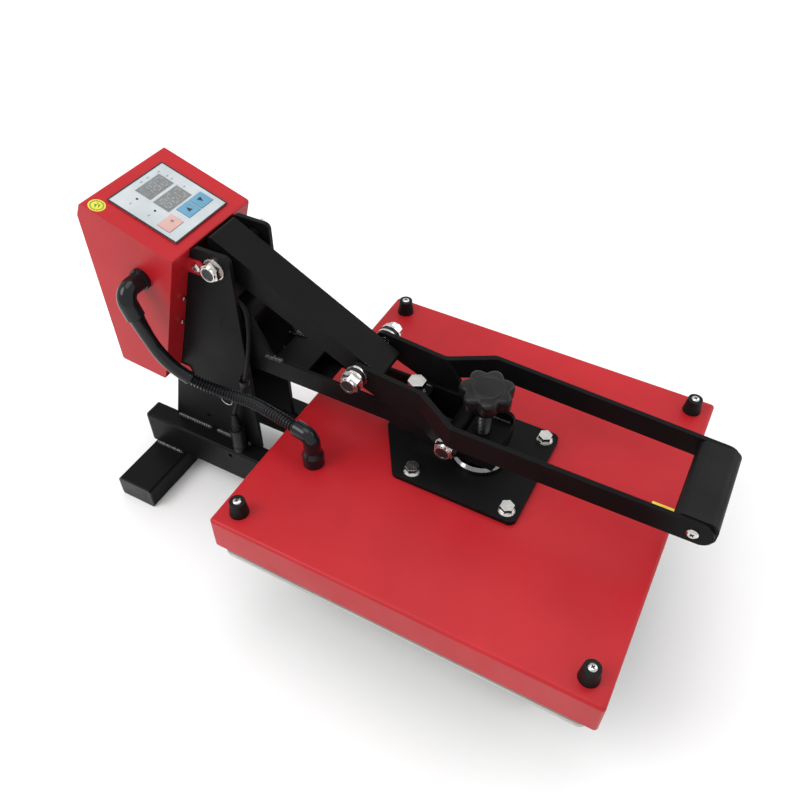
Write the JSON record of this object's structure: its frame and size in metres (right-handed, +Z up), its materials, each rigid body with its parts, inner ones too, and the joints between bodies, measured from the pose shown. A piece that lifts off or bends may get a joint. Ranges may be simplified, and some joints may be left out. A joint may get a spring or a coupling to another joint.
{
  "type": "clamshell heat press",
  "caption": "Manual clamshell heat press with a square heated head under a red cover, toggle lever, star knob and digital control box.",
  "frame": {"origin": "on the bench under the middle of the footprint", "axes": "+Z up, -Y towards the operator and the grip, +X to the operator's right"},
  "size_m": [0.4, 0.67, 0.3924],
  "materials": {
    "black_paint": "satin powder coat",
    "red_paint": "gloss powder coat",
    "zinc_steel": "zinc plated",
    "chrome": "polished",
    "raw_aluminium": "sanded",
    "table_paint": "light grey paint",
    "silicone": "matte silicone foam",
    "black_rubber": "matte",
    "black_plastic": "moulded",
    "overlay_film": "printed film",
    "display_film": "tinted",
    "blue_film": "printed film",
    "pink_film": "printed film",
    "mineral_wool": "felted",
    "circuit_board": "satin"
  },
  "bodies": {
    "root": {"arm_shaft": "black_paint", "base_beam_left": "black_paint", "base_beam_right": "black_paint", "box_back_panel": "red_paint", "box_elbow": "black_plastic", "box_shell": "red_paint", "box_tab_screws": "zinc_steel", "cable_clip": "black_plastic", "close_sensor": "black_plastic", "control_board": "circuit_board", "cord_gland": "black_plastic", "display_windows": "display_film", "front_foot": "black_paint", "front_platen_rail": "black_paint", "lower_platen": "table_paint", "panel_overlay": "overlay_film", "power_relay": "black_plastic", "rail_nuts": "zinc_steel", "rear_foot": "black_paint", "rear_platen_rail": "black_paint", "sensor_cable": "black_rubber", "silicone_pad": "silicone", "switch_bezel": "black_plastic", "top_pivot_bolt_and_nut": "zinc_steel", "tower_plate_left": "black_paint", "tower_plate_right": "black_paint", "tower_spacers": "black_paint", "tube_end_caps": "black_plastic"},
    "press_arm": {"arm_plate_left": "black_paint", "arm_plate_right": "black_paint", "arm_pivot_tube": "black_paint", "arm_spacers": "black_paint", "screw_block": "black_paint", "stop_bar": "black_paint", "stop_screw_and_nut": "zinc_steel", "lever_pivot_bolt_and_nut": "zinc_steel", "heater_conduit": "black_plastic"},
    "platen_head": {"heat_platen": "raw_aluminium", "heater_sheet": "mineral_wool", "insulation": "mineral_wool", "platen_cover": "red_paint", "flange_plate": "black_paint", "flange_bolts": "zinc_steel", "thrust_hub": "chrome", "cover_plugs": "black_rubber", "cover_elbow": "black_plastic"},
    "adjuster": {"star_knob": "black_plastic", "pressure_screw": "zinc_steel"},
    "lever": {"lever_bar_left": "black_paint", "lever_bar_right": "black_paint", "lever_grip": "black_rubber", "grip_bolt": "zinc_steel", "link_studs_and_nuts": "zinc_steel", "link_stud_spacers": "black_plastic"},
    "upper_link": {"link_channel": "black_paint", "link_bushes": "black_paint"},
    "up_key": {"key_up": "blue_film"},
    "down_key": {"key_down": "blue_film"},
    "set_key": {"key_set": "pink_film"},
    "rocker": {"power_rocker": "black_plastic"}
  },
  "joints": [
    {"name": "arm_lift", "type": "hinge", "parent": "root", "child": "press_arm", "pos_m": [0, 0.185, 0.27], "axis": [-1, 0, 0], "range_deg": [0, 25]},
    {"name": "lever_swing", "type": "hinge", "parent": "press_arm", "child": "lever", "pos_m": [0, -0.072, 0.2132], "axis": [-1, 0, 0], "range_deg": [0, 31.25]},
    {"name": "link_swing", "type": "hinge", "parent": "root", "child": "upper_link", "pos_m": [0, 0.189, 0.344], "axis": [-1, 0, 0], "range_deg": [0, 2]},
    {"name": "head_height", "type": "slide", "parent": "press_arm", "child": "platen_head", "axis": [0, 0, 1], "range_m": [0, 0.003]},
    {"name": "adjuster_turn", "type": "hinge", "parent": "platen_head", "child": "adjuster", "pos_m": [0, -0.097, 0.235], "axis": [0, 0, 1], "range_deg": [0, 541]},
    {"name": "key_up_press", "type": "slide", "parent": "root", "child": "up_key", "axis": [0, 0.3007, -0.9537], "range_m": [0, 0.0005], "stiffness_N_per_m": 300},
    {"name": "key_down_press", "type": "slide", "parent": "root", "child": "down_key", "axis": [0, 0.3007, -0.9537], "range_m": [0, 0.0005], "stiffness_N_per_m": 300},
    {"name": "key_set_press", "type": "slide", "parent": "root", "child": "set_key", "axis": [0, 0.3007, -0.9537], "range_m": [0, 0.0005], "stiffness_N_per_m": 300},
    {"name": "power_switch", "type": "hinge", "parent": "root", "child": "rocker", "pos_m": [0.03, 0.3295, 0.235], "axis": [1, 0, 0], "range_deg": [0, 12]}
  ],
  "couplings": [
    {"joint": "lever_swing", "follows": "arm_lift", "ratio": 1.2477},
    {"joint": "link_swing", "follows": "arm_lift", "ratio": 0.077306},
    {"joint": "adjuster_turn", "follows": "head_height", "rad_per_m": 3141.6}
  ]
}
